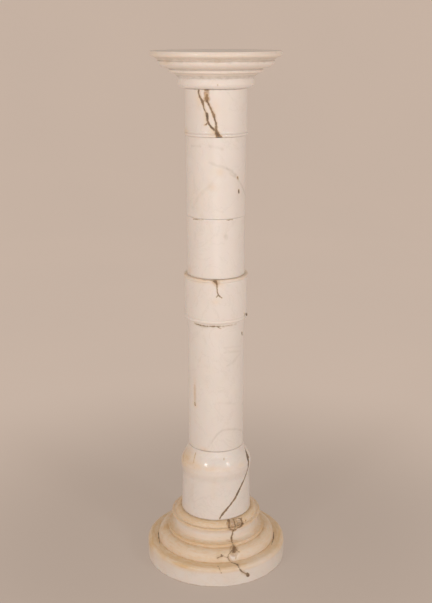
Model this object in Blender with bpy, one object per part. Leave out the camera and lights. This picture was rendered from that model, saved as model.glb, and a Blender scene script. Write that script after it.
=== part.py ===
"""A turned marble pedestal column in the Doric manner, built up from eight separate stones.

The stones stand on one another on one upright axis: a moulded base, a foot drum, a plain
lower shaft, a collar drum, two plain shafts, a neck drum and a moulded capital.
Sizes are in metres, +Z is up, and the origin is the middle of the base's underside.

Every radius is worked out from the shaft's: each member of a moulding says how far it stands
out past the one above or below it, and how high it is.
"""

import math

import bmesh
import bpy

# Round the axis: flat faces on each turned stone, and steps along each quarter round
SIDES = 48
QUARTER_STEPS = 3
SHARP_EDGE_DEG = 28
WELD = 0.00001

# The bed left open between one stone and the next, and the eased edge of a plain end
JOINT_GAP = 0.0003
EASED_EDGE = 0.0008

# The fine sunk line that sets one member of a moulding off from the next
QUIRK = 0.0012

# The plain shafts
SHAFT_RADIUS = 0.0584
LOWER_SHAFT_HEIGHT = 0.280
MIDDLE_SHAFT_HEIGHT = 0.120
UPPER_SHAFT_HEIGHT = 0.1576
UPPER_SHAFT_STANDS = 0.0005

# Foot drum, from its top down: a shoulder in a double curve, a band, and a body that widens
FOOT_TOP_STANDS = 0.0005
SHOULDER_STANDS = 0.0160
SHOULDER_HEIGHT = 0.0403
SHOULDER_BAND_HEIGHT = 0.0040
FOOT_WAIST_SET_BACK = 0.0034
FOOT_WAIST_HEIGHT = 0.0105
FOOT_BODY_FLARE = 0.0028
FOOT_BODY_HEIGHT = 0.0942

# Base, from its top down: seat ring, thin fillet, hollow neck, fillet, ovolo and plinth
SEAT_SHOWS = 0.0022
SEAT_RING_STANDS = 0.0119
SEAT_RING_HEIGHT = 0.0098
THIN_FILLET_STANDS = 0.0070
THIN_FILLET_HEIGHT = 0.0046
BASE_NECK_SET_BACK = 0.0057
BASE_NECK_HOLLOW = 0.0016
BASE_NECK_HEIGHT = 0.0221
FLARE_STANDS = 0.0144
FLARE_HEIGHT = 0.0048
BASE_FILLET_HEIGHT = 0.0056
OVOLO_LEDGE = 0.0050
OVOLO_STANDS = 0.0180
OVOLO_HEIGHT = 0.0212
PLINTH_LEDGE = 0.0162
PLINTH_ROUNDING = 0.0080
PLINTH_FACE_HEIGHT = 0.0327

# Collar drum: a plain band between two small beads
COLLAR_STANDS = 0.0059
COLLAR_BAND_HEIGHT = 0.0764
COLLAR_BEAD_HEIGHT = 0.0066
COLLAR_BEAD_STANDS = 0.0009
COLLAR_QUIRK = 0.0007

# Neck drum: a plain band that flares to a quirk, with a small bead along its lower edge
NECK_STANDS = 0.0022
NECK_BAND_HEIGHT = 0.0739
NECK_FLARE_STANDS = 0.0016
NECK_FLARE_HEIGHT = 0.0085
NECK_QUIRK = 0.0008
NECK_BEAD_HEIGHT = 0.0058
NECK_BEAD_STANDS = 0.0012

# Capital, from its underside up: ring, hollow, bead, ovolo, hollow and slab
RING_FOOT_STANDS = 0.0016
RING_ROUND_STANDS = 0.0117
RING_ROUND_HEIGHT = 0.0100
RING_TOP_SET_BACK = 0.0012
RING_TOP_HEIGHT = 0.0086
LOWER_HOLLOW_STANDS = 0.0140
LOWER_HOLLOW_HEIGHT = 0.0102
LOWER_HOLLOW_SINKS = 0.0015
BEAD_SEAT_STANDS = 0.0025
BEAD_HEIGHT = 0.0060
BEAD_STANDS = 0.0022
OVOLO_SEAT_STANDS = 0.0065
OVOLO_SEAT_HEIGHT = 0.0022
CAPITAL_OVOLO_STANDS = 0.0170
CAPITAL_OVOLO_HEIGHT = 0.0122
OVOLO_EDGE_ROUND = 0.0016
UPPER_HOLLOW_STANDS = 0.0086
UPPER_HOLLOW_HEIGHT = 0.0060
UPPER_HOLLOW_SINKS = 0.0008
SLAB_FOOT_STANDS = 0.0016
SLAB_FOOT_HEIGHT = 0.0008
SLAB_ROUND_STANDS = 0.0057
SLAB_ROUND_HEIGHT = 0.0051
SLAB_FACE_HEIGHT = 0.0036
SLAB_EDGE_ROUND = 0.0024

# Surface of the stone: linear colours, and the gloss of the polish
WHITE_MARBLE = (0.80, 0.70, 0.60)
HONEY_MARBLE = (0.72, 0.56, 0.38)
POLISH_ROUGHNESS = 0.28


class Outline:
    """The outline of a turned stone, drawn member by member along its side.

    It starts at one end of the stone and runs along the axis towards the other. Each member
    says how far it goes out from the axis (in, if it is negative) and how far along it.
    """

    def __init__(self, radius):
        self.points = [(radius, 0.0)]

    def line(self, out, along):
        """A straight member."""
        radius, height = self.points[-1]
        self.points.append((radius + out, height + along))

    def quarter(self, out, along, leaves, steps=QUARTER_STEPS):
        """A quarter ellipse that leaves its start across the axis, or along it."""
        radius, height = self.points[-1]
        for step in range(1, steps + 1):
            turned = math.radians(90 * step / steps)
            first, last = math.sin(turned), 1 - math.cos(turned)
            across, down = (first, last) if leaves == "across" else (last, first)
            self.points.append((radius + out * across, height + along * down))

    def bead(self, along, stands, steps=2 * QUARTER_STEPS):
        """A half-round bead that stands out past its two ends."""
        radius, height = self.points[-1]
        for step in range(1, steps + 1):
            turned = math.pi * step / steps
            self.points.append(
                (radius + stands * math.sin(turned), height + along * (1 - math.cos(turned)) / 2)
            )

    def hollow(self, out, along, sinks, steps=QUARTER_STEPS):
        """A shallow hollow that sinks in behind the straight way between its two ends."""
        radius, height = self.points[-1]
        for step in range(1, steps + 1):
            share = step / steps
            deep = 4 * share * (1 - share) * sinks / math.hypot(out, along)
            self.points.append(
                (radius + out * share - along * deep, height + along * share + out * deep)
            )

    def ogee(self, out, along, steps=QUARTER_STEPS):
        """A double curve that both leaves its start and meets its end along the axis."""
        radius, height = self.points[-1]
        for step in range(1, steps + 1):
            share = step / steps
            eased = share * share * (3 - 2 * share)
            self.points.append((radius + out * eased, height + along * share))

    def length(self):
        """How far the outline runs along the axis."""
        return self.points[-1][1]


def drawn_down(outline):
    """Points of an outline that was drawn from the stone's top down, with its foot at height 0."""
    return [(radius, outline.length() - along) for radius, along in outline.points]


def drawn_up(outline):
    """Points, from the top down, of an outline that was drawn from the stone's foot up."""
    return outline.points[::-1]


def foot_top_radius():
    return SHAFT_RADIUS + FOOT_TOP_STANDS


def foot_bottom_radius():
    return foot_top_radius() + SHOULDER_STANDS - FOOT_WAIST_SET_BACK + FOOT_BODY_FLARE


def neck_radius():
    return SHAFT_RADIUS + UPPER_SHAFT_STANDS + NECK_STANDS


def base_side():
    """Seat ring, thin fillet, hollow neck, fillet, ovolo and plinth."""
    side = Outline(foot_bottom_radius() + SEAT_SHOWS)
    side.quarter(SEAT_RING_STANDS, SEAT_RING_HEIGHT, "across")
    side.line(THIN_FILLET_STANDS, 0)
    side.line(0, THIN_FILLET_HEIGHT)
    side.line(-BASE_NECK_SET_BACK, 0)
    side.line(-BASE_NECK_HOLLOW, BASE_NECK_HEIGHT / 2)
    side.line(BASE_NECK_HOLLOW, BASE_NECK_HEIGHT / 2)
    side.quarter(FLARE_STANDS, FLARE_HEIGHT, "along")
    side.line(0, BASE_FILLET_HEIGHT)
    side.line(-QUIRK, QUIRK)
    side.line(OVOLO_LEDGE, 0)
    side.quarter(OVOLO_STANDS, OVOLO_HEIGHT, "across")
    side.line(-QUIRK, QUIRK)
    side.line(PLINTH_LEDGE, 0)
    side.quarter(PLINTH_ROUNDING, PLINTH_ROUNDING, "across")
    side.line(0, PLINTH_FACE_HEIGHT)
    side.line(-EASED_EDGE, EASED_EDGE)
    return drawn_down(side)


def foot_side():
    """A shoulder that curves out from the shaft to a narrow band, over a body that widens."""
    side = Outline(foot_top_radius())
    side.ogee(SHOULDER_STANDS, SHOULDER_HEIGHT, steps=2 * QUARTER_STEPS)
    side.line(0, SHOULDER_BAND_HEIGHT)
    side.ogee(-FOOT_WAIST_SET_BACK, FOOT_WAIST_HEIGHT)
    side.line(FOOT_BODY_FLARE, FOOT_BODY_HEIGHT)
    return drawn_down(side)


def shaft_side(radius, height):
    """A plain round shaft with eased edges."""
    side = Outline(radius - EASED_EDGE)
    side.line(EASED_EDGE, EASED_EDGE)
    side.line(0, height - 2 * EASED_EDGE)
    side.line(-EASED_EDGE, EASED_EDGE)
    return drawn_down(side)


def collar_side():
    """A plain band between two beads, each set off by a fine quirk."""
    side = Outline(SHAFT_RADIUS + COLLAR_STANDS - COLLAR_QUIRK)
    side.bead(COLLAR_BEAD_HEIGHT, COLLAR_QUIRK + COLLAR_BEAD_STANDS)
    side.line(COLLAR_QUIRK, COLLAR_QUIRK)
    side.line(0, COLLAR_BAND_HEIGHT)
    side.line(-COLLAR_QUIRK, COLLAR_QUIRK)
    side.bead(COLLAR_BEAD_HEIGHT, COLLAR_QUIRK + COLLAR_BEAD_STANDS)
    return drawn_down(side)


def neck_side():
    """A plain band that flares above a quirk, with a small bead along its lower edge."""
    side = Outline(neck_radius() - EASED_EDGE)
    side.line(EASED_EDGE, EASED_EDGE)
    side.line(0, NECK_BAND_HEIGHT - EASED_EDGE)
    side.quarter(NECK_FLARE_STANDS, NECK_FLARE_HEIGHT, "along")
    side.line(-NECK_FLARE_STANDS, NECK_QUIRK)
    side.bead(NECK_BEAD_HEIGHT, NECK_BEAD_STANDS)
    return drawn_down(side)


def capital_side():
    """Ring, hollow, bead, ovolo, hollow and slab."""
    side = Outline(neck_radius() + RING_FOOT_STANDS)
    side.quarter(RING_ROUND_STANDS, RING_ROUND_HEIGHT, "across")
    side.quarter(-RING_TOP_SET_BACK, RING_TOP_HEIGHT, "along", steps=2)
    side.hollow(LOWER_HOLLOW_STANDS, LOWER_HOLLOW_HEIGHT, LOWER_HOLLOW_SINKS)
    side.line(BEAD_SEAT_STANDS, QUIRK / 2)
    side.bead(BEAD_HEIGHT, BEAD_STANDS, steps=3)
    side.line(OVOLO_SEAT_STANDS, OVOLO_SEAT_HEIGHT)
    side.quarter(CAPITAL_OVOLO_STANDS, CAPITAL_OVOLO_HEIGHT, "across")
    side.quarter(-OVOLO_EDGE_ROUND, OVOLO_EDGE_ROUND, "along", steps=1)
    side.hollow(UPPER_HOLLOW_STANDS, UPPER_HOLLOW_HEIGHT, UPPER_HOLLOW_SINKS, steps=2)
    side.line(SLAB_FOOT_STANDS, SLAB_FOOT_HEIGHT)
    side.quarter(SLAB_ROUND_STANDS, SLAB_ROUND_HEIGHT, "across")
    side.line(0, SLAB_FACE_HEIGHT)
    side.quarter(-SLAB_EDGE_ROUND, SLAB_EDGE_ROUND, "along", steps=2)
    return drawn_up(side)


def marble(name, colour):
    """A polished stone of one colour."""
    material = bpy.data.materials.new(name)
    material.use_nodes = True
    shader = material.node_tree.nodes["Principled BSDF"]
    shader.inputs["Base Color"].default_value = (*colour, 1.0)
    shader.inputs["Roughness"].default_value = POLISH_ROUGHNESS
    shader.inputs["Metallic"].default_value = 0.0
    return material


def turn(name, side, foot, material):
    """Turns one stone about the upright axis and stands its underside at the height foot.

    side lists (radius, height above the underside) from the top of the stone down.
    """
    profile = [(0.0, side[0][1]), *side, (0.0, 0.0)]
    turned = bmesh.new()
    points = [turned.verts.new((radius, 0.0, height)) for radius, height in profile]
    edges = [turned.edges.new(pair) for pair in zip(points, points[1:])]
    bmesh.ops.spin(
        turned,
        geom=points + edges,
        cent=(0, 0, 0),
        axis=(0, 0, 1),
        angle=2 * math.pi,
        steps=SIDES,
        use_merge=True,
    )
    bmesh.ops.remove_doubles(turned, verts=turned.verts, dist=WELD)
    bmesh.ops.recalc_face_normals(turned, faces=turned.faces)
    mesh = bpy.data.meshes.new(name)
    turned.to_mesh(mesh)
    turned.free()
    mesh.shade_smooth()
    mesh.set_sharp_from_angle(angle=math.radians(SHARP_EDGE_DEG))
    mesh.materials.append(material)
    stone = bpy.data.objects.new(name, mesh)
    bpy.context.collection.objects.link(stone)
    stone.location.z = foot


def build():
    """Stands the stones on one another from the floor up."""
    white = marble("White marble", WHITE_MARBLE)
    honey = marble("Honey-stained marble", HONEY_MARBLE)
    stones = [
        ("base", base_side(), honey),
        ("foot_drum", foot_side(), white),
        ("lower_shaft", shaft_side(SHAFT_RADIUS, LOWER_SHAFT_HEIGHT), white),
        ("collar_drum", collar_side(), white),
        ("middle_shaft", shaft_side(SHAFT_RADIUS, MIDDLE_SHAFT_HEIGHT), white),
        ("upper_shaft", shaft_side(SHAFT_RADIUS + UPPER_SHAFT_STANDS, UPPER_SHAFT_HEIGHT), white),
        ("neck_drum", neck_side(), white),
        ("capital", capital_side(), white),
    ]
    foot = 0.0
    for name, side, material in stones:
        turn(name, side, foot, material)
        foot += side[0][1] + JOINT_GAP


for old in list(bpy.data.objects):
    bpy.data.objects.remove(old)
build()
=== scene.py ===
"""The looks of a turned marble pedestal column: fine stones with veins, stains, chips and worn edges.

Each stone of the frame is stood for by a finer one of the same outline. Angles round the axis are
counted from the front, where the camera stands, and grow to the right. Lengths are in metres unless
a name says otherwise. Marks that the photograph shows are placed by its pixels, 432 x 603 in all,
and marks on the far side by their angle and height.
"""

import math
from collections import namedtuple

import bpy
import numpy as np
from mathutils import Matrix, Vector


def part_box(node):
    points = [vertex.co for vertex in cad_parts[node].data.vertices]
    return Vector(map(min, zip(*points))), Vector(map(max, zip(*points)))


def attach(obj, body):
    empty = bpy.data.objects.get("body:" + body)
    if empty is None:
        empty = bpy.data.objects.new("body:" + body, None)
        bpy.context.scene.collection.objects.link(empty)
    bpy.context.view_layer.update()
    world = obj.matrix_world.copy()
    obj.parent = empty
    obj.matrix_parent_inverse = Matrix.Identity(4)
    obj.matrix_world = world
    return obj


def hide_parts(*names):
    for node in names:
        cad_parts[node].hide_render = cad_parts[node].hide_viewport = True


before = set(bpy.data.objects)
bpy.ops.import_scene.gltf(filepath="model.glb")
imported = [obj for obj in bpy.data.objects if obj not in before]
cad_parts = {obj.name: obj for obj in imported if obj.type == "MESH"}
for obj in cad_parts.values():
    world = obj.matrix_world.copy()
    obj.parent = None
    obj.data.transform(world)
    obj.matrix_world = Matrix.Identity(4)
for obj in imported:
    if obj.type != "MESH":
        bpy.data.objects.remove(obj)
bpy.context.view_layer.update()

MM = 0.001

# The photograph's frame, and a camera in front of the column, a little over its top
IMAGE_WIDTH_PX = 432
IMAGE_HEIGHT_PX = 603
SENSOR_MM = 36.0
LENS_MM = 56.8
CAMERA_DISTANCE = 1.8789
CAMERA_HEIGHT = 1.1074
CAMERA_TILT_DEG = 15.925

# Fineness of the stones: steps along each kind of curve, rows down a side and over a flat end
CURVE_STEPS = {
    "line": 1, "across": 10, "along": 10, "hollow": 10, "leaning": 10,
    "bead": 20, "ogee": 20, "rounding": 20,
}
ROW_STEP = 1.25 * MM
END_STEP = 7 * MM
SOFT_EDGE = 0.7 * MM

# A member of a moulding, drawn on from the one before: its kind of curve, how far it goes out from
# the axis and along it, in millimetres, and how deeply the stone is stained where it ends, which in
# the capital's hollows is partly painted shade
Member = namedtuple("Member", "curve out along stain bend", defaults=(0.0, None))

# Radii in millimetres of the shafts, and of the other stones where their outlines start
SHAFT_RADIUS = 58.4
UPPER_SHAFT_RADIUS = 58.9
FOOT_RADIUS = 58.9
SEAT_RADIUS = 76.5
COLLAR_RADIUS = 63.6
NECK_RADIUS = 61.1
RING_RADIUS = 62.7

# How deeply the base and the collar drum are stained at their tops
SEAT_STAIN = 0.95
COLLAR_STAIN = 0.6

# Base, from its top down
BASE = {
    "seat ring": Member("across", 11.9, 9.8, 0.75),
    "thin fillet's top": Member("line", 7.0, 0, 0.9),
    "thin fillet": Member("line", 0, 4.6, 0.6),
    "thin fillet's underside": Member("line", -5.7, 0, 0.6),
    "neck going in": Member("line", -1.6, 11, 0.12),
    "neck going out": Member("line", 1.6, 11, 0.5),
    "flare": Member("along", 14.4, 4.8, 1.0),
    "fillet": Member("line", 0, 5.6, 0.75),
    "quirk": Member("line", -1.2, 1.2, 0.95),
    "ovolo's ledge": Member("line", 5.0, 0, 0.8),
    "ovolo": Member("across", 18.0, 21.2, 0.68),
    "quirk under the ovolo": Member("line", -1.2, 1.2, 0.95),
    "plinth's ledge": Member("line", 16.2, 0, 0.95),
    "plinth's rounding": Member("across", 8.0, 8.0, 0.6),
    "plinth's edge": Member("line", 0, 4.0, 0.08),
    "plinth's face": Member("line", 0, 29.5, 0.02),
}

# Foot drum, from its top down: a shoulder that curves out to a band, over a body that widens
FOOT = {
    "slope": Member("line", 3.1, 12.5),
    "shoulder": Member("rounding", 12.9, 27.8, bend=0.68),
    "band": Member("line", 0, 4.0),
    "waist": Member("ogee", -3.4, 22.0),
    "body": Member("line", 2.8, 82.7),
}

# Collar drum, from its top down: a plain band between two beads, each set off by a fine quirk
COLLAR = {
    "upper bead": Member("bead", 1.6, 6.6),
    "upper quirk": Member("line", 0.7, 0.7),
    "band": Member("line", 0, 76.4),
    "lower quirk": Member("line", -0.7, 0.7),
    "lower bead": Member("bead", 1.6, 6.6),
}

# Neck drum, from its top down
NECK = {
    "band": Member("line", 0, 73.9),
    "flare": Member("along", 1.6, 8.5),
    "quirk": Member("line", -1.6, 1.7),
    "bead": Member("bead", 1.2, 4.9),
}

# Capital, from its underside up. The stains in its hollows and round its slab are partly painted shade
# that darkens them and partly a warm tint of the stone
CAPITAL = {
    "ring": Member("across", 11.7, 10.0),
    "ring's top": Member("along", -1.2, 8.6),
    "lower hollow": Member("hollow", 14.0, 10.2, 0.3, bend=1.5),
    "bead's seat": Member("line", 2.5, 0.6, 0.2),
    "bead": Member("bead", 2.2, 6.0),
    "ovolo's seat": Member("line", 6.5, 2.2, 0.3),
    "ovolo": Member("across", 17.0, 12.2),
    "ovolo's edge": Member("along", -1.6, 1.6, 0.15),
    "upper hollow": Member("hollow", 8.6, 6.0, 0.3, bend=0.8),
    "slab's foot": Member("line", 1.6, 0.8, 0.3),
    "slab's rounding": Member("across", 5.7, 5.1, 0.25),
    "slab's face": Member("leaning", -0.5, 3.6, 0.2),
    "slab's edge": Member("along", -1.9, 2.4, 0.2),
}


def place_on(member, share):
    """Where a member's curve has got to, as shares of the member's own width and height."""
    turn = math.pi / 2 * share
    if member.curve == "across":
        return math.sin(turn), 1 - math.cos(turn)
    if member.curve == "along":
        return 1 - math.cos(turn), math.sin(turn)
    if member.curve == "bead":
        return math.sin(2 * turn), (1 - math.cos(2 * turn)) / 2
    if member.curve == "hollow":
        # sinks in by bend millimetres behind the straight way
        sunk = 4 * share * (1 - share) * member.bend / math.hypot(member.out, member.along)
        return share - sunk * member.along / member.out, share + sunk * member.out / member.along
    if member.curve == "rounding":
        # ends along the axis, drawn toward the share bend of its height
        return share * (2 - share), 2 * share * (1 - share) * member.bend + share * share
    if member.curve == "ogee":
        # starts and ends along the axis
        return share * share * (3 - 2 * share), share
    if member.curve == "leaning":
        # starts along the axis and leans more and more
        return share * share, share
    return share, share


def drawn(radius_mm, members, stain=0.0):
    """The side of a turned stone: radii, distances along the axis and stains, partly painted shade in the
    capital's hollows.
    """
    points = [(radius_mm * MM, 0.0, stain)]
    for member in members.values():
        radius, height, stain = points[-1]
        steps = CURVE_STEPS[member.curve]
        for step in range(1, steps + 1):
            out, along = place_on(member, step / steps)
            at = (radius + member.out * MM * out, height + member.along * MM * along)
            points.append((*at, stain + (member.stain - stain) * step / steps))
    return np.array(points)


def hung(points):
    """A side drawn from the top down, with its foot at height 0."""
    points[:, 1] = points[-1, 1] - points[:, 1]
    return points


def shaft(node, radius_mm):
    low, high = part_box(node)
    return hung(drawn(radius_mm, {"side": Member("line", 0, (high.z - low.z) / MM)}))


OUTLINES = {
    "base": hung(drawn(SEAT_RADIUS, BASE, SEAT_STAIN)),
    "foot_drum": hung(drawn(FOOT_RADIUS, FOOT)),
    "lower_shaft": shaft("lower_shaft", SHAFT_RADIUS),
    "collar_drum": hung(drawn(COLLAR_RADIUS, COLLAR, COLLAR_STAIN)),
    "middle_shaft": shaft("middle_shaft", SHAFT_RADIUS),
    "upper_shaft": shaft("upper_shaft", UPPER_SHAFT_RADIUS),
    "neck_drum": hung(drawn(NECK_RADIUS, NECK)),
    "capital": drawn(RING_RADIUS, CAPITAL)[::-1],
}


def smooth_step(low, high, value):
    share = np.clip((value - low) / (high - low), 0, 1)
    return share * share * (3 - 2 * share)


# Large odd numbers that scatter the corners of the noise's cells
CELL_KEYS = (73856093, 19349663, 83492791)
SEED_KEY = 2654435
SCATTER_KEY = 1274126177


def noise(points, lump, seed):
    """Smooth noise between -1 and 1 with lumps of about the size lump, in three dimensions."""
    scaled = points / lump + 100
    cell = np.floor(scaled).astype(np.int64)
    part = scaled - cell
    part = part * part * (3 - 2 * part)
    total = np.zeros(len(points))
    for corner in np.ndindex(2, 2, 2):
        at = cell + corner
        mixed = np.bitwise_xor.reduce(at * CELL_KEYS, axis=1) ^ (seed * SEED_KEY)
        mixed = (mixed ^ (mixed >> 13)) * SCATTER_KEY & 0x7FFFFFFF
        mixed = (mixed ^ (mixed >> 16)) & 0xFFFF
        weight = np.prod(np.where(corner, part, 1 - part), axis=1)
        total += weight * (mixed / 0x7FFF - 1)
    return total


# Finding the place on the column that a pixel of the photograph shows

def column_side():
    """Heights and radii of the whole column from the floor up."""
    heights, radii = [], []
    for node, outline in OUTLINES.items():
        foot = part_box(node)[0].z
        heights.extend(foot + outline[::-1, 1])
        radii.extend(outline[::-1, 0])
    return np.array(heights), np.array(radii)


COLUMN_HEIGHTS, COLUMN_RADII = column_side()
RAY_FROM, RAY_TO, RAY_STEP = 1.6, 2.5, 0.0002


def seen(*pixels):
    """The points of the column that these pixels show."""
    focal_px = LENS_MM / SENSOR_MM * IMAGE_HEIGHT_PX
    tilt = math.radians(CAMERA_TILT_DEG)
    forward = np.array([0, math.cos(tilt), -math.sin(tilt)])
    upward = np.array([0, math.sin(tilt), math.cos(tilt)])
    camera = np.array([0, -CAMERA_DISTANCE, CAMERA_HEIGHT])
    steps = np.arange(RAY_FROM, RAY_TO, RAY_STEP)
    found = []
    for across_px, down_px in pixels:
        right = np.array([across_px - (IMAGE_WIDTH_PX - 1) / 2, 0, 0])
        ray = forward * focal_px + right - upward * (down_px - (IMAGE_HEIGHT_PX - 1) / 2)
        along = camera + steps[:, None] * ray / np.linalg.norm(ray)
        radii = np.interp(along[:, 2], COLUMN_HEIGHTS, COLUMN_RADII)
        outside = np.hypot(along[:, 0], along[:, 1]) - radii
        hits = np.flatnonzero(outside <= 0)
        found.append(along[hits[0]] if len(hits) else along[np.argmin(outside)])
    return np.array(found)


def turned(*places):
    """The points of the column at these (degrees from the front, height) places."""
    found = []
    for degrees, height in places:
        radius = np.interp(height, COLUMN_HEIGHTS, COLUMN_RADII)
        angle = math.radians(degrees)
        found.append((radius * math.sin(angle), -radius * math.cos(angle), height))
    return np.array(found)


def round_at(down_px):
    """The ring of points round the column at the height that this row shows on its middle."""
    height = seen(((IMAGE_WIDTH_PX - 1) / 2, down_px))[0][2]
    return turned(*((degrees, height) for degrees in range(0, 361, 10)))


def spot(across_px, down_px):
    """The one point of the column that a pixel shows."""
    return seen((across_px, down_px))[0]


def on_stones(kind, find, **tables):
    """Each stone's marks of one kind, with their places found on the column."""
    return {
        node: [kind(find(*places), *rest) for places, *rest in table.values()]
        for node, table in tables.items()
    }


# Veins and cracks: wide_mm is the width at the route's two ends or at each of its places, and
# warmth runs from a dark grey brown, 0, to a light ochre brown, 1
Vein = namedtuple("Vein", "route wide_mm deep_mm warmth")

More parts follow.
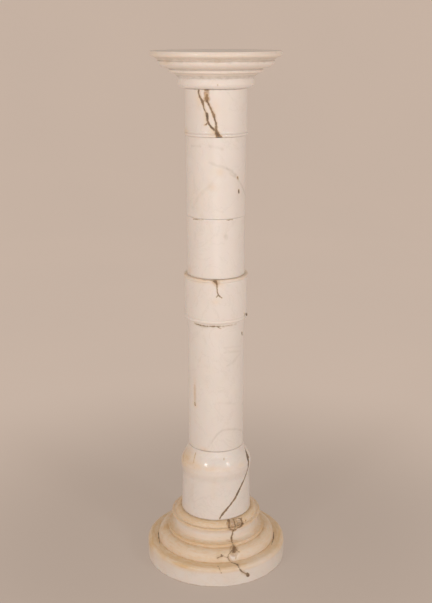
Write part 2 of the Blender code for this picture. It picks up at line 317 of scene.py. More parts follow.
VEINS = on_stones(Vein, seen, neck_drum={
    "left branch": ([(198.1, 89.6), (197.6, 92), (198.5, 94.5), (199.5, 97), (201.4, 100.6)],
        (3.6, 3.2, 2.6, 3.6, 5), 0.5, 0.15),
    "left branch, middle": ([(201.4, 100.6), (202.2, 103), (203.2, 107.6), (204.8, 111), (206.3, 113.6)],
        (5, 3.8, 2.2, 2.8, 3.8), 0.5, 0.2),
    "left branch, knot": ([(206.3, 113.4), (206.9, 116.5), (207, 120.4)], (4.4, 5.2, 4.4), 0.5, 0.1),
    "left branch, foot": ([(207, 120.4), (208.6, 124), (211.2, 127), (213.6, 129.4)],
        (4.2, 3.8, 3.4, 4.4), 0.5, 0.2),
    "left spur": ([(207, 122.4), (205.4, 124.2), (203.8, 124.6)], (3.2, 2.6, 1.4), 0.3, 0.5),
    "link": ([(201.8, 101.4), (203.8, 100), (206.2, 101.6)], (3.2, 1.2, 1.6), 0.3, 0.6),
    "right branch, top edge": ([(204.4, 89.7), (208.8, 89.8)], (2.4, 2.4), 0.6, 0.2),
    "right branch, top": ([(206.2, 94.6), (206.1, 97.4), (206.6, 100.6)], (5, 7, 5), 0.4, 0.9),
    "right branch": ([(206.6, 100.6), (207.6, 103), (209, 105.8), (210.2, 108.2), (211.4, 111)],
        (4.6, 3.6, 3, 3.4, 3.6), 0.4, 0.4),
    "right branch, knot": ([(211.4, 111), (212.8, 114.2), (213.7, 117)], (3.8, 5.4, 3.8), 0.5, 0.5),
    "right branch, foot": ([(213.7, 117), (214.2, 119.6), (215.6, 123), (215.9, 126), (215.4, 130)],
        (3.4, 2.8, 3.6, 3.8, 5.4), 0.5, 0.25),
    "stem": ([(215.4, 129.6), (216.4, 132.4), (217.6, 135), (218.7, 137.8)], (6.4, 6.6, 8.6, 13), 0.5, 0.7),
    "stem, core": ([(215.3, 130), (216.6, 133), (217.8, 135.4), (218.6, 137.2)],
        (2.4, 2.6, 3.6, 6), 0.6, 0.2),
}, upper_shaft={
    "arch, upper spot": ([(237, 176.8), (237.6, 178.4)], (2.6, 2.6), 0.3, 0.6),
    "arch, lower spot": ([(238.3, 189.4), (238.5, 192.2)], (4, 4), 0.5, 0.1),
}, middle_shaft={
    "dash of the upper bed, left": ([(192.7, 218.5), (197, 218.8), (202.4, 219.2)], (1.4, 2.2, 1.2), 0.3, 0),
    "dash of the upper bed, right": ([(226.4, 219.5), (232, 219.1)], (1.4, 1.8), 0.3, 0),
}, lower_shaft={
    "mark under the collar": ([(216.4, 326), (218, 327.2), (220.4, 328.2)], (2.2, 1.6), 0.4, 0.1),
    "spot at the right": ([(241.5, 332.2), (241.8, 334.2)], (4.4, 4.4), 0.5, 0.15),
    "streak's spot": ([(194.2, 402.2), (194.5, 404.4)], (2.8, 4.2), 0.4, 0.55),
    # The collar's shade lines are painted shade beneath the collar's bead, drawn as grey veins with a
    # shallow groove
    "collar's shade, left": ([(193.6, 322.5), (197, 324), (201, 325.1), (207, 325.8)],
        (1, 2.2, 1.8, 2), 0.3, 0),
    "collar's shade, middle": ([(208.4, 325.9), (213, 326.1), (218, 326.1)], (2.2, 2.4, 1.6), 0.3, 0),
    "collar's shade, right": ([(218, 326.1), (227, 325.3), (236, 323.3)], (1.4, 1.6, 1), 0.3, 0),
}, collar_drum={
    "wedge": ([(214.6, 280.4), (215.8, 282.4), (216.5, 285.2)], (8, 4.6, 2.4), 0.5, 0.6),
    "wedge, core": ([(212.4, 280.6), (215, 281.2)], (1.4, 2.4), 0.6, 0.3),
    "stem": ([(216.5, 285), (216.5, 288.4), (217, 291.8), (217.9, 294.5)], (2.6, 2.2, 2.2, 2.6), 0.4, 0.25),
    "left fork": ([(217.9, 294.5), (216, 296.7)], (2.4, 1.6), 0.4, 0.2),
    "right fork": ([(217.9, 294.5), (219.4, 296), (221.2, 297.5)], (2.6, 2), 0.4, 0.15),
    "pit at the right": ([(245.2, 313), (246.9, 314.4), (246.6, 316.4)], (2, 9, 6), 0.8, 0),
    "scar beside the pit": ([(243.6, 312.6), (244.4, 315.2), (243.8, 318.4)], (1.2, 1.6, 1), 0.3, 0.5),
    "top bed, left": ([(185.2, 272.4), (188, 275), (194, 277.6), (203, 279.4), (212, 280)],
        (3.4, 2.4, 1.4, 1, 1.4), 0.3, 0.45),
}, foot_drum={
    "crack, shoulder": ([(244.2, 446.6), (245.6, 450.6), (246.6, 453.4)], (2.4, 4.4, 8), 0.7, 0),
    "crack, dark spot": ([(246.6, 453.4), (247.4, 456.4), (247.8, 459.6)], (8, 12, 9), 0.7, 0),
    "crack, round": ([(247.9, 459.4), (248, 464), (247.2, 468.9), (245.9, 473.3)],
        (8, 5.4, 4.4, 4), 0.7, 0.05),
    "crack, body": ([(245.9, 473.3), (243.8, 478.6), (241.6, 483.5), (239.6, 487.8), (237.6, 492)],
        (3.8, 3.8, 4.6, 5.4, 5.2), 0.6, 0.1),
    "crack, foot": (
        [(237.6, 492), (235, 497.2), (232, 501.6), (229, 505.4), (225.6, 509.4), (222.4, 513.2),
         (220, 516.6), (218.4, 520.6)],
        (5, 4.2, 4.4, 4, 3.6, 4, 3.6, 3.2), 0.6, 0.15),
    "mark at the left": ([(195.1, 452.4), (194.8, 454)], (1, 1), 0.2, 0.8),
    "mark's tail": ([(194.6, 454), (193.9, 458), (193, 462)], (0.7, 0.3), 0.1, 1),
    "mark at the middle": ([(223.4, 457.8), (223.6, 459.4)], (0.8, 0.6), 0.2, 0.5),
}, base={
    "net, left band": ([(227.8, 518.4), (228.3, 521), (228.7, 523.4), (228.6, 527), (229.6, 529)],
        (5.6, 5.4, 6, 5.4, 4.6), 0.4, 0.75),
    "net, second band": ([(232.2, 518.4), (233.8, 521), (234.3, 523.2), (234.8, 525.4), (234.4, 528)],
        (3.4, 3.6, 3.2, 4, 3.4), 0.4, 0.85),
    "net, top": ([(228, 518.6), (234, 518.3), (241, 517.6)], (2.6, 2.6, 3.2), 0.4, 0.6),
    "net, right edge": ([(240.4, 518.4), (241.4, 520.8), (241.9, 523), (240.8, 525.2), (238.4, 527.2)],
        (5.4, 3.2, 5, 4.8, 4.6), 0.5, 0.6),
    "net, lower edge": ([(229.6, 528.8), (232, 529.4), (235, 529.2), (237, 528), (239, 526.8)],
        (4.4, 4.4, 4.8, 4.4, 4), 0.4, 0.85),
    "net, inner": ([(237.6, 521.6), (237.3, 524), (238, 527)], (1.6, 2.4, 3), 0.2, 0.7),
    "net, cross": ([(234.8, 525), (237, 522.6), (240.8, 522.2)], (1.8, 1.6, 2), 0.2, 0.7),
    "spot past the net": ([(245.4, 519.8), (245.4, 521.8)], (2.2, 1.8), 0.3, 0.5),
    "neck": ([(233, 529.6), (232.2, 531.4), (231.9, 533.6), (231.2, 536), (231, 538.4)],
        (5, 3, 3, 3.6, 4.4), 0.5, 0.3),
    "neck, foot": ([(231, 538.4), (231.4, 541.4), (232.4, 543.6), (233, 546)],
        (3.4, 3.2, 2.8, 3.6), 0.4, 0.6),
    "smudge, left": ([(228.4, 541), (231, 541)], (1.6, 3), 0.1, 1),
    "fan": ([(233.4, 545.4), (234, 547.6), (233.6, 550.6)], (3.6, 6.4, 9.6), 0.4, 0.75),
    "fan, core": ([(234, 547.6), (233, 550), (232.2, 552)], (2.2, 3.4, 3), 0.4, 0.4),
    "fan, left": ([(232.4, 548.6), (231, 550.4), (229, 553)], (2.6, 3, 2.6), 0.3, 0.75),
    "fan, right": ([(234.6, 548.2), (236.6, 550), (238.6, 551.2)], (3.4, 3.8, 2.6), 0.3, 0.8),
    "patch, left": ([(228, 554), (227.6, 557.4), (229, 560), (231, 562)], (1.8, 2, 2, 2.2), 0.3, 0.75),
    "patch, right rib": ([(235, 553.6), (235.6, 555.4), (235.2, 558.4)], (1.8, 1.4, 1), 0.2, 0.85),
    "tail, quirk": ([(231, 562), (234.4, 562.8), (236.6, 563.8)], (2.6, 3.2, 4), 0.5, 0.35),
    "tail, rounding": ([(236.6, 563.8), (238, 566.4), (239.6, 568.9), (241.2, 571)],
        (4.2, 3, 2.8, 3.8), 0.5, 0.3),
    "tail, thin": ([(241.2, 571), (243, 571.8), (245.4, 573.2)], (2.6, 2, 2.8), 0.4, 0.5),
    "tail, spot": ([(246.7, 573.6), (247.6, 575)], (6.8, 6.8), 0.9, 0.25),
    "ovolo, left twig": ([(217, 557.6), (219.4, 556.4), (222.6, 555.4)], (2.2, 1.8, 2.4), 0.3, 0.6),
    "ovolo, left twig's spot": ([(220.8, 554.4), (221.6, 555.4)], (2.8, 2.4), 0.3, 0.5),
    "ovolo, middle twig": ([(223.6, 556.4), (227.2, 557)], (1, 2), 0.2, 0.7),
    "rounding, left twig": ([(217.6, 565.6), (219.2, 569), (220.9, 572.6)], (2.6, 1.8, 1.8), 0.3, 0.65),
    "quirk, left rear": ([(159.4, 526.6), (158.2, 532), (158.4, 538), (159.6, 543.6)],
        (1.4, 2.4, 2.2, 1), 0.3, 0.3),
    "quirk, right rear": ([(271.8, 526.6), (273, 532), (272.8, 538), (271, 544.4)],
        (1.2, 2.6, 2.4, 1), 0.3, 0.25),
}, capital={
    "spot on the ring": ([(217.1, 84.2), (217.2, 85.1)], (1.4, 1.2), 0.3, 0.2),
})

# The far side, which the photograph doesn't show, has a few plainer ones of the same kinds
FAR_VEINS = on_stones(Vein, turned, neck_drum={
    "neck": ([(172, 1), (168, 0.982), (175, 0.962), (170, 0.944)], (2.2, 1.6, 2.4, 1.2), 0.4, 0.35),
}, collar_drum={
    "collar": ([(-116, 0.56), (-121, 0.58), (-119, 0.597)], (1, 1.8, 1.4), 0.4, 0.4),
}, foot_drum={
    "shoulder": ([(150, 0.262), (156, 0.246), (158, 0.226), (166, 0.206)], (1.4, 2.4, 2, 1), 0.4, 0.3),
    "foot": ([(-128, 0.176), (-140, 0.158), (-146, 0.136), (-158, 0.113)], (1, 2, 2.4, 1.8), 0.5, 0.2),
}, base={
    "ovolo": ([(141, 0.086), (145, 0.066), (143, 0.05), (150, 0.034)], (1.4, 2.6, 2.2, 2.8), 0.5, 0.35),
    "ovolo twig": ([(145, 0.064), (152, 0.056), (154, 0.046)], (1.8, 1), 0.3, 0.5),
}, capital={
    "slab": ([(128, 1.054), (133, 1.06), (140, 1.064)], (1.4, 1.8, 1), 0.4, 0.4),
})

# Soft veins in the depth of the stone, grey or brown, and a few soft bands of painted shade: strength from 0
# to 1
Cloud = namedtuple("Cloud", "route wide_mm strength")

GREY_CLOUDS = on_stones(Cloud, seen, upper_shaft={
    "arch, left leg": ([(216, 176), (211, 184), (204, 190), (197, 198), (192, 208)], (4, 5, 6, 6, 5), 0.1),
    "arch, top": ([(209, 162), (216, 165), (222, 166.6), (228, 168.8)], (4, 5, 4, 4), 0.2),
    "arch, right leg": (
        [(226, 168), (231, 170.6), (234.6, 174.4), (237.6, 179.4), (240.8, 184), (243.2, 190), (244.8, 198)],
        (3, 4.5, 5, 4, 3.4, 3, 3), 0.36),
    "arch, inner": ([(229, 172.6), (233, 175.4), (236, 177)], (2.4, 3), 0.3),
    "dashes under the neck, left": ([(191, 145.4), (200, 145.8)], (3, 3), 0.24),
    "dashes under the neck, right": ([(209, 145.6), (216, 146.6), (222, 148.6)], (4, 4), 0.22),
}, middle_shaft={
    "middle spot": ([(225.3, 236), (225.6, 237.6)], (8, 8), 0.2),
    "middle, left": ([(194.6, 233), (194.6, 239)], (6, 6), 0.1),
}, lower_shaft={
    "zigzag 1": ([(224, 347.4), (231, 346.4), (240, 345.6)], (3, 3, 3), 0.14),
    "zigzag 2": ([(224, 352.2), (232, 351.2), (240, 350.4)], (3, 4, 3), 0.18),
    "zigzag 3": ([(240, 352.6), (236, 357), (232.6, 361.6)], (3, 4, 6), 0.15),
    "zigzag 4": ([(226.4, 365.6), (231, 363), (235.4, 359.6)], (3, 4, 4), 0.16),
    "cross band": ([(219, 402.4), (230, 402.6), (242, 403.4)], (4, 5, 4), 0.12),
    "thin vein": (
        [(208.4, 446), (212.6, 440), (216.4, 434), (221.4, 430), (228, 428.8), (236, 428.6), (241, 430),
         (243.2, 434)],
        (2.4, 2.6, 3, 3.4, 3.4, 3, 2.6, 2.6), 0.26),
    # The cloud under the collar is painted shade beneath the collar's bead
    "under the collar": ([(194, 323), (201, 325.6), (209, 326.4), (217, 326.4), (227, 325.4), (236, 323.4)],
        (3, 5, 5, 5, 4, 3), 0.35),
}, foot_drum={
    "foot, left": ([(192, 484), (191, 496), (194, 508)], (6, 9, 6), 0.08),
})

FAR_GREY_CLOUDS = on_stones(Cloud, turned, upper_shaft={
    "arch": ([(82, 0.84), (100, 0.812), (122, 0.8), (146, 0.775)], (4, 6, 5, 4), 0.26),
}, middle_shaft={
    "middle": ([(146, 0.77), (160, 0.735), (184, 0.7)], (4, 5, 7), 0.2),
}, lower_shaft={
    "long": ([(112, 0.5), (132, 0.455), (150, 0.43), (176, 0.4), (190, 0.36)], (5, 7, 5, 8, 5), 0.24),
    "low": ([(205, 0.33), (222, 0.3), (246, 0.29)], (4, 6, 4), 0.22),
}, capital={
    "slab": ([(60, 1.069), (150, 1.0699), (200, 1.069)], (5, 8, 5), 0.2),
})

# Painted shade: grey rings round the capital under its slab and under its bead, where its hollows are shaded
PAINTED_SHADE_RINGS = on_stones(Cloud, round_at, capital={
    "under the slab": ([59.8], (9, 9), 0.32),
    "under the bead": ([76.8], (7, 7), 0.4),
})

BROWN_CLOUDS = on_stones(Cloud, seen, neck_drum={
    "wide band": ([(206, 89.8), (206, 94), (206.2, 98), (207, 101)], (8, 8, 10, 7), 0.75),
    "left halo": ([(198.6, 92), (201.6, 100), (205, 110), (207, 119)], (4, 5, 5, 6), 0.22),
    "right halo": ([(208, 102), (212, 110), (214.6, 118), (216, 127)], (4, 5, 6, 5), 0.22),
    "stem halo": ([(214.4, 129), (217, 133.6), (218.8, 138)], (7, 9, 13), 0.35),
}, lower_shaft={
    "streak": ([(194.2, 385), (194.5, 393), (194.4, 402)], (4.4, 4.8, 4.4), 0.2),
}, collar_drum={
    "wedge halo": ([(215.4, 280), (216.5, 286)], (15, 5), 0.3),
}, foot_drum={
    "shoulder, left": ([(185.6, 449), (183, 454), (182.6, 460)], (4, 7, 6), 0.22),
}, base={
    "net": ([(228.4, 523.4), (234, 524), (240.6, 522.6)], (13, 17, 13), 0.8),
    "net, foot": ([(228, 528.4), (233.4, 529.6), (239, 527)], (6, 7, 6), 0.6),
    "fan": ([(233.4, 545), (233.4, 551.4)], (6, 20), 0.5),
    "fan, foot": ([(227.6, 556.6), (231, 561.6), (237, 563.8)], (6, 5, 6), 0.35),
    "tail": ([(237, 564), (240.6, 570.2), (247, 574.4)], (6, 5, 8), 0.3),
    "twigs": ([(217.6, 557), (222.4, 555.2)], (7, 7), 0.25),
    "smudge": ([(227, 540.6), (236, 540.6)], (6, 5), 0.22),
}, capital={
    "capital, middle": ([(215.6, 60), (219, 60.2)], (6, 5), 0.12),
})

# Soft patches of colour round a place: how far each reaches across and up. A few pale ones are painted
# highlights and painted light.
Patch = namedtuple("Patch", "centre across_mm up_mm strength")

OCHRE_PATCHES = on_stones(Patch, spot, neck_drum={
    "left of the veins": ((198.4, 99), 7, 16, 0.4),
    "right of the veins": ((215.6, 109), 8, 16, 0.25),
    "between the veins": ((205.2, 117), 5, 14, 0.45),
    "glow": ((212.4, 131.5), 9, 9, 0.5),
    "left foot": ((185, 131), 14, 7, 0.5),
}, upper_shaft={
    "arch, top": ((219.4, 171.6), 10, 8, 0.34),
    "arch, left": ((211.6, 187.2), 9, 8, 0.28),
    "arch, far left": ((198, 196), 22, 22, 0.14),
}, middle_shaft={
    "foot left": ((189.6, 270), 10, 10, 0.25),
}, lower_shaft={
    "streak": ((194.3, 393), 4, 30, 0.5),
    "streak, spot": ((194.6, 404), 7, 7, 0.4),
    "foot": ((203, 449), 12, 6, 0.4),
    "foot left": ((191, 446), 8, 8, 0.3),
}, collar_drum={
    "top left": ((185.2, 273), 12, 8, 0.9),
    "top": ((198, 280.4), 26, 5, 0.5),
    "wedge": ((216.6, 283), 12, 6, 0.5),
    "middle": ((215.2, 301.4), 9, 6, 0.25),
}, foot_drum={
    "shoulder, left edge": ((184.4, 457.4), 34, 24, 0.9),
    "shoulder, left": ((190.6, 462), 20, 12, 0.7),
    "shoulder, left band": ((196, 466), 18, 10, 0.6),
    "shoulder, middle band": ((210, 468.6), 24, 7, 0.5),
    "shoulder, right band": ((226, 469), 18, 5, 0.3),
    "shoulder, right": ((240, 465), 14, 8, 0.3),
    "foot, streaks": ((213, 486), 8, 30, 0.14),
}, base={
    "base, plinth left": ((152, 541), 36, 26, 1.15),
    "base, ovolo left": ((166, 552), 50, 24, 0.75),
    "base, quirk left": ((190, 562), 50, 8, 0.9),
    "base, rounding left": ((184, 565), 56, 10, 1.1),
    "base, seat left": ((166, 526), 26, 20, 1.2),
    "base, right rear": ((262, 527), 26, 22, 1),
    "base, under the neck": ((233, 543), 24, 12, 0.75),
}, capital={
    "slab, middle": ((217.4, 60.4), 12, 8, 0.35),
    "slab, left": ((156.4, 56), 16, 10, 0.45),
    "ovolo, left": ((166, 62), 18, 6, 0.5),
})

# Pale stone, with painted highlights on the collar's lower bead and the capital's ring, and painted light on
# the foot drum's waist
PALE_AND_LIT_PATCHES = on_stones(Patch, spot, neck_drum={
    "upper island": ((201.8, 94.4), 7, 9, 0.9),
    "middle island": ((205.2, 105), 5, 11, 0.7),
    "lower island": ((210.8, 119), 6, 16, 0.35),
}, collar_drum={
    "right of the stem": ((222.2, 290), 5, 7, 0.5),
    "left of the stem": ((211, 290), 5, 8, 0.35),
    # The foot bead patch is a painted highlight along the collar's lower bead
    "foot bead": ((214, 321.6), 44, 3, 0.8),
}, foot_drum={
    # The waist patch is painted light that lifts the shade under the foot drum's band
    "foot, waist": ((214, 476), 60, 9, 0.6),
}, base={
    "base, under the fan": ((233.4, 556.8), 12, 7, 1.2),
    "net, slit": ((231.9, 522), 2.4, 8, 1.3),
    "net, core": ((238.6, 521), 4, 6, 1.2),
    "base, right of the neck": ((245, 536), 26, 12, 0.6),
    "base, right of the ovolo": ((252, 553), 34, 16, 0.4),
    "base, right of the plinth": ((262, 562), 40, 26, 0.6),
}, capital={
    # The left ring patch is a painted highlight on the capital's ring
    "capital, left ring": ((203, 84.4), 16, 8, 0.5),
})

# Chips and pits cut out of the stone
Chip = namedtuple("Chip", "centre wide_mm deep_mm")

CHIPS = on_stones(Chip, spot, neck_drum={
    "top, right": ((206.6, 89.9), 8, 1),
    "top, left": ((198.4, 90), 4, 1),
}, collar_drum={
    "foot, first": ((197.4, 323.4), 5, 0.9),
    "foot, second": ((205.2, 324.2), 4.5, 1),
    "foot, third": ((213.4, 324.6), 4, 0.9),
    "side": ((246.4, 314.4), 6, 1.2),
}, foot_drum={
    "shoulder": ((248.6, 458.4), 7, 1.2),
}, base={
    "plinth": ((269.3, 572.4), 5, 1.4),
})

# How dark each stone is made along its top and foot and in its sunk corners: grime in the joints and
# sunk corners, with painted shade in the sunk corners, under the collar's bead and along the base's
# foot where it meets the floor
Dirt = namedtuple("Dirt", "top foot sunk")

DIRT_AND_SHADE_OF = {
    "base": Dirt(0.4, 0.8, 0.05),
    "foot_drum": Dirt(0.2, 0.5, 0.0),
    "lower_shaft": Dirt(0.3, 0.35, 0.0),
    "collar_drum": Dirt(0.0, 0.3, 0.0),
    "middle_shaft": Dirt(0.0, 0.1, 0.0),
    "upper_shaft": Dirt(0.2, 0.0, 0.0),
    "neck_drum": Dirt(0.3, 0.4, 0.05),
    "capital": Dirt(0.1, 0.25, 0.1),
}


# The fine side of a stone: rows from the middle of its top, down its side, to the middle below

CORNER_TURN = math.radians(20)
CORNER_SHARE = 0.45
MARKED_CORNER_TURN = math.radians(40)
VISIBLE_FROM_DEG, VISIBLE_TO_DEG = -100, 100
VISIBLE_STEP_DEG, HIDDEN_STEP_DEG = 0.75, 1.6
PROUD_REACH = 1.2 * MM
SUNK_REACH = 1.8 * MM
BED_REACH = 1.2 * MM
RIM_SHARE = 0.99


def softened(side):
    """The outline with round corners, and how sharp each was: over 0 if proud, under 0 if sunk."""
    rows = [(*side[0], 0.0)]
    for before, corner, after in zip(side, side[1:], side[2:]):
        coming, going = corner[:2] - before[:2], after[:2] - corner[:2]
        turn = math.atan2(coming[0] * going[1] - coming[1] * going[0], coming @ going)
        if abs(turn) < CORNER_TURN:
            rows.append((*corner, 0.0))
            continue
        start = corner[:2] - coming * min(SOFT_EDGE / np.linalg.norm(coming), CORNER_SHARE)
        end = corner[:2] + going * min(SOFT_EDGE / np.linalg.norm(going), CORNER_SHARE)
        sharp = -turn / (math.pi / 2) if abs(turn) > MARKED_CORNER_TURN else 0.0
        for share in (0, 1 / 3, 2 / 3, 1):
            bent = (1 - share) ** 2 * start + 2 * share * (1 - share) * corner[:2] + share**2 * end
            rows.append((*bent, corner[2], sharp))
    rows.append((*side[-1], 0.0))
    return np.array(rows)


def filled(side):
    """The outline with rows no further apart than ROW_STEP, or END_STEP over a flat end."""
    rows = []
    ends = (side[0][1], side[-1][1])
    for first, last in zip(side, side[1:]):
        flat_end = first[1] == last[1] and first[1] in ends
        length = math.hypot(*(last - first)[:2])
        count = max(1, math.ceil(length / (END_STEP if flat_end else ROW_STEP)))
        for step in range(count):
            row = first + (last - first) * step / count
            row[3] = first[3] if step == 0 else 0.0
            rows.append(row)
    rows.append(side[-1])
    return np.array(rows)


def column_angles():
    """Angles round the axis from the front, closer together on the side that the camera sees."""
    seen_side = np.arange(VISIBLE_FROM_DEG, VISIBLE_TO_DEG, VISIBLE_STEP_DEG)
    hidden = VISIBLE_FROM_DEG + 360 - VISIBLE_TO_DEG
    rest = np.linspace(0, hidden, round(hidden / HIDDEN_STEP_DEG), endpoint=False)
    return np.radians(np.concatenate([seen_side, VISIBLE_TO_DEG + rest]))


class Stone:
    """The points of a fine stone, in rows and columns, with the direction that each one faces."""

    def __init__(self, node):
        outline = OUTLINES[node]
        side = np.vstack([(0, outline[0, 1], 0), outline, (0, 0, 0)])
        radius, height, stain, sharp = filled(softened(side)).T
        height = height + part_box(node)[0].z
        along = np.concatenate([[0], np.cumsum(np.hypot(np.diff(radius), np.diff(height)))])
        out, up = -np.gradient(height, along), np.gradient(radius, along)
        length = np.hypot(out, up)
        self.node = node
        self.ends = height[0], height[-1]
        self.angles = column_angles()
        self.rows = len(radius) - 2
        self.around = np.tile(self.angles, self.rows)
        self.radius, self.height = self.spread(radius), self.spread(height)
        self.along, self.stain = self.spread(along), self.spread(stain)
        self.proud = self.spread(near_rows(along, np.maximum(sharp, 0), PROUD_REACH))
        self.sunk = self.spread(near_rows(along, np.maximum(-sharp, 0), SUNK_REACH))
        rim = along[np.argmax(radius > outline[0, 0] * RIM_SHARE)]
        foot = along[-1] - outline[-1, 0]
        self.top_bed = np.exp(-(((self.along - rim) / BED_REACH) ** 2))
        self.foot_bed = np.exp(-(((self.along - foot) / BED_REACH) ** 2))
        facing = self.spread(out / length), self.spread(up / length)
        self.points = self.placed(self.radius, self.height)
        self.normals = self.placed(*facing)

    def spread(self, row_values):
        """One value for each point, from one for each row."""
        return np.repeat(row_values[1:-1], len(self.angles))

    def placed(self, out, up):
        """Points or directions in the frame, from how far out and up they are."""
        return np.column_stack([out * np.sin(self.around), -out * np.cos(self.around), up])


def near_rows(along, marks, reach):
    """How near each row is to a marked one, as a share of that mark."""
    marked = np.flatnonzero(marks)
    if not len(marked):
        return np.zeros(len(along))
    away = (along[:, None] - along[marked]) / reach
    return np.max(marks[marked] * np.exp(-(away**2)), axis=1)


# What marks a stone: each of these gives one number for each of its points

FAR_MM = 6.0
WOBBLE_LUMP = 5 * MM
WOBBLE = 0.5 * MM
ROUTE_STEP = 1.0 * MM
WIDTH_LUMP = 3.5 * MM
WIDTH_CHANGE = 0.4
GROOVE_FADE_MM = (-0.6, 0.8)
CLOUD_FADE_MM = (-2.2, 1.6)
NICK_LUMP = 5 * MM
NICK_DEPTH = 0.5 * MM
NICK_FADE = (0.25, 0.9)
CHIP_LUMP = 1.5 * MM
CHIP_RAGGED = 0.25
CHIP_FADE = (1.1, 0.3)
BROAD_LUMP = 40 * MM
BROAD_DEPTH = 0.06 * MM
FINE_LUMP = 9 * MM
FINE_DEPTH = 0.02 * MM


def lengths_along(route):
    return np.concatenate([[0], np.cumsum(np.linalg.norm(np.diff(route, axis=0), axis=1))])


def wobbled(route, wide_mm):
    """The route with a place every ROUTE_STEP and small turns, and half its width at each."""
    lengths = lengths_along(route)
    at = np.linspace(0, lengths[-1], max(2, round(lengths[-1] / ROUTE_STEP)))
    places = np.column_stack([np.interp(at, lengths, route[:, axis]) for axis in range(3)])
    given = lengths if len(wide_mm) == len(route) else np.linspace(0, lengths[-1], len(wide_mm))
    half_mm = np.interp(at, given, wide_mm) / 2 * (1 + WIDTH_CHANGE * noise(places, WIDTH_LUMP, 14))
    turns = np.column_stack([noise(places, WOBBLE_LUMP, seed) for seed in (11, 12, 13)])
    return places + WOBBLE * turns, half_mm


def inside_mm(points, route, wide_mm):
    """How far each point lies inside the line along a route, in millimetres: under 0 is outside."""
    places, half_mm = wobbled(route, wide_mm)
    reach = (FAR_MM + max(wide_mm)) * MM
    near = np.all((points > places.min(0) - reach) & (points < places.max(0) + reach), axis=1)
    inside = np.full(len(points), -FAR_MM)
    if not near.any():
        return inside
    close = points[near]
    best = np.full(len(close), -FAR_MM)
    for start, end, first_mm, last_mm in zip(places, places[1:], half_mm, half_mm[1:]):
        step = end - start
        share = np.clip((close - start) @ step / (step @ step), 0, 1)
        away_mm = np.linalg.norm(close - start - share[:, None] * step, axis=1) / MM
        best = np.maximum(best, first_mm + (last_mm - first_mm) * share - away_mm)
    inside[near] = best
    return inside


def marks_on(stone, tables):
    return [mark for table in tables for mark in table.get(stone.node, [])]


def veined(stone):
    """How far inside a vein each point lies, how warm that vein is, and how deep it is cut."""
    inside = np.full(len(stone.points), -FAR_MM)
    warmth, groove = np.zeros(len(inside)), np.zeros(len(inside))
    for vein in marks_on(stone, (VEINS, FAR_VEINS)):
        this = inside_mm(stone.points, vein.route, vein.wide_mm)
        darker = (this > 0) & (inside > 0) & (vein.warmth < warmth)
        warmth = np.where((this > inside) | darker, vein.warmth, warmth)
        inside = np.maximum(inside, this)
        groove = np.maximum(groove, vein.deep_mm * MM * smooth_step(*GROOVE_FADE_MM, this))
    return inside, warmth, groove


def clouded(stone, *tables):
    """How strongly a soft vein shows at each point."""
    strength = np.zeros(len(stone.points))
    for cloud in marks_on(stone, tables):
        inside = inside_mm(stone.points, cloud.route, cloud.wide_mm)
        strength = np.maximum(strength, cloud.strength * smooth_step(*CLOUD_FADE_MM, inside))
    return strength


def patched(stone, *tables):
    """How strongly the patches colour each point."""
    strength = np.zeros(len(stone.points))
    for patch in marks_on(stone, tables):
        x, y, z = patch.centre
        radius = math.hypot(x, y)
        turn = (stone.around - math.atan2(x, -y) + math.pi) % (2 * math.pi) - math.pi
        across = turn * radius / (patch.across_mm * MM)
        up = np.hypot(stone.radius - radius, stone.height - z) / (patch.up_mm * MM)
        strength = np.maximum(strength, patch.strength * np.exp(-(across**2) - up**2))
    return strength


def chipped(stone):
    """How deep each point is cut by chips, and by small nicks along the proud edges."""
    nicks = smooth_step(*NICK_FADE, noise(stone.points, NICK_LUMP, 21)) * NICK_DEPTH
    depth = stone.proud * nicks
    for chip in marks_on(stone, (CHIPS,)):
        away = np.linalg.norm(stone.points - chip.centre, axis=1) / (chip.wide_mm * MM / 2)
        away = away + CHIP_RAGGED * noise(stone.points, CHIP_LUMP, 22)
        depth = np.maximum(depth, chip.deep_mm * MM * smooth_step(*CHIP_FADE, away))
    return depth


def worked(stone):
    """The slight unevenness that hand polishing leaves."""
    broad, fine = noise(stone.points, BROAD_LUMP, 31), noise(stone.points, FINE_LUMP, 32)
    return BROAD_DEPTH * (1 + broad) + FINE_DEPTH * (1 + fine)


def mesh_of(stone, fields):
    """The stone as a closed mesh, with the fields as attributes of its points."""
    columns, rows = len(stone.angles), stone.rows
    points = np.vstack([stone.points, (0, 0, stone.ends[0]), (0, 0, stone.ends[1])])
    top, foot = len(points) - 2, len(points) - 1
    column = np.arange(columns)
    beside = (column + 1) % columns
    faces = []
    for row in range(rows - 1):
        upper, lower = row * columns, (row + 1) * columns
        corners = [lower + column, lower + beside, upper + beside, upper + column]
        faces += np.column_stack(corners).tolist()
    last = (rows - 1) * columns
    faces += np.column_stack([np.full(columns, top), column, beside]).tolist()
    faces += np.column_stack([np.full(columns, foot), last + beside, last + column]).tolist()
    mesh = bpy.data.meshes.new(stone.node + ".fine")
    mesh.from_pydata(points.tolist(), [], faces)
    for name, values in fields.items():
        values = values.reshape(len(stone.points), -1)
        values = np.vstack([values, np.zeros((2, values.shape[1]))])
        kind, key = ("FLOAT", "value") if values.shape[1] == 1 else ("FLOAT_VECTOR", "vector")
        attribute = mesh.attributes.new(name, kind, "POINT")
        attribute.data.foreach_set(key, values.astype(np.float32).ravel())
    mesh.shade_smooth()
    return mesh


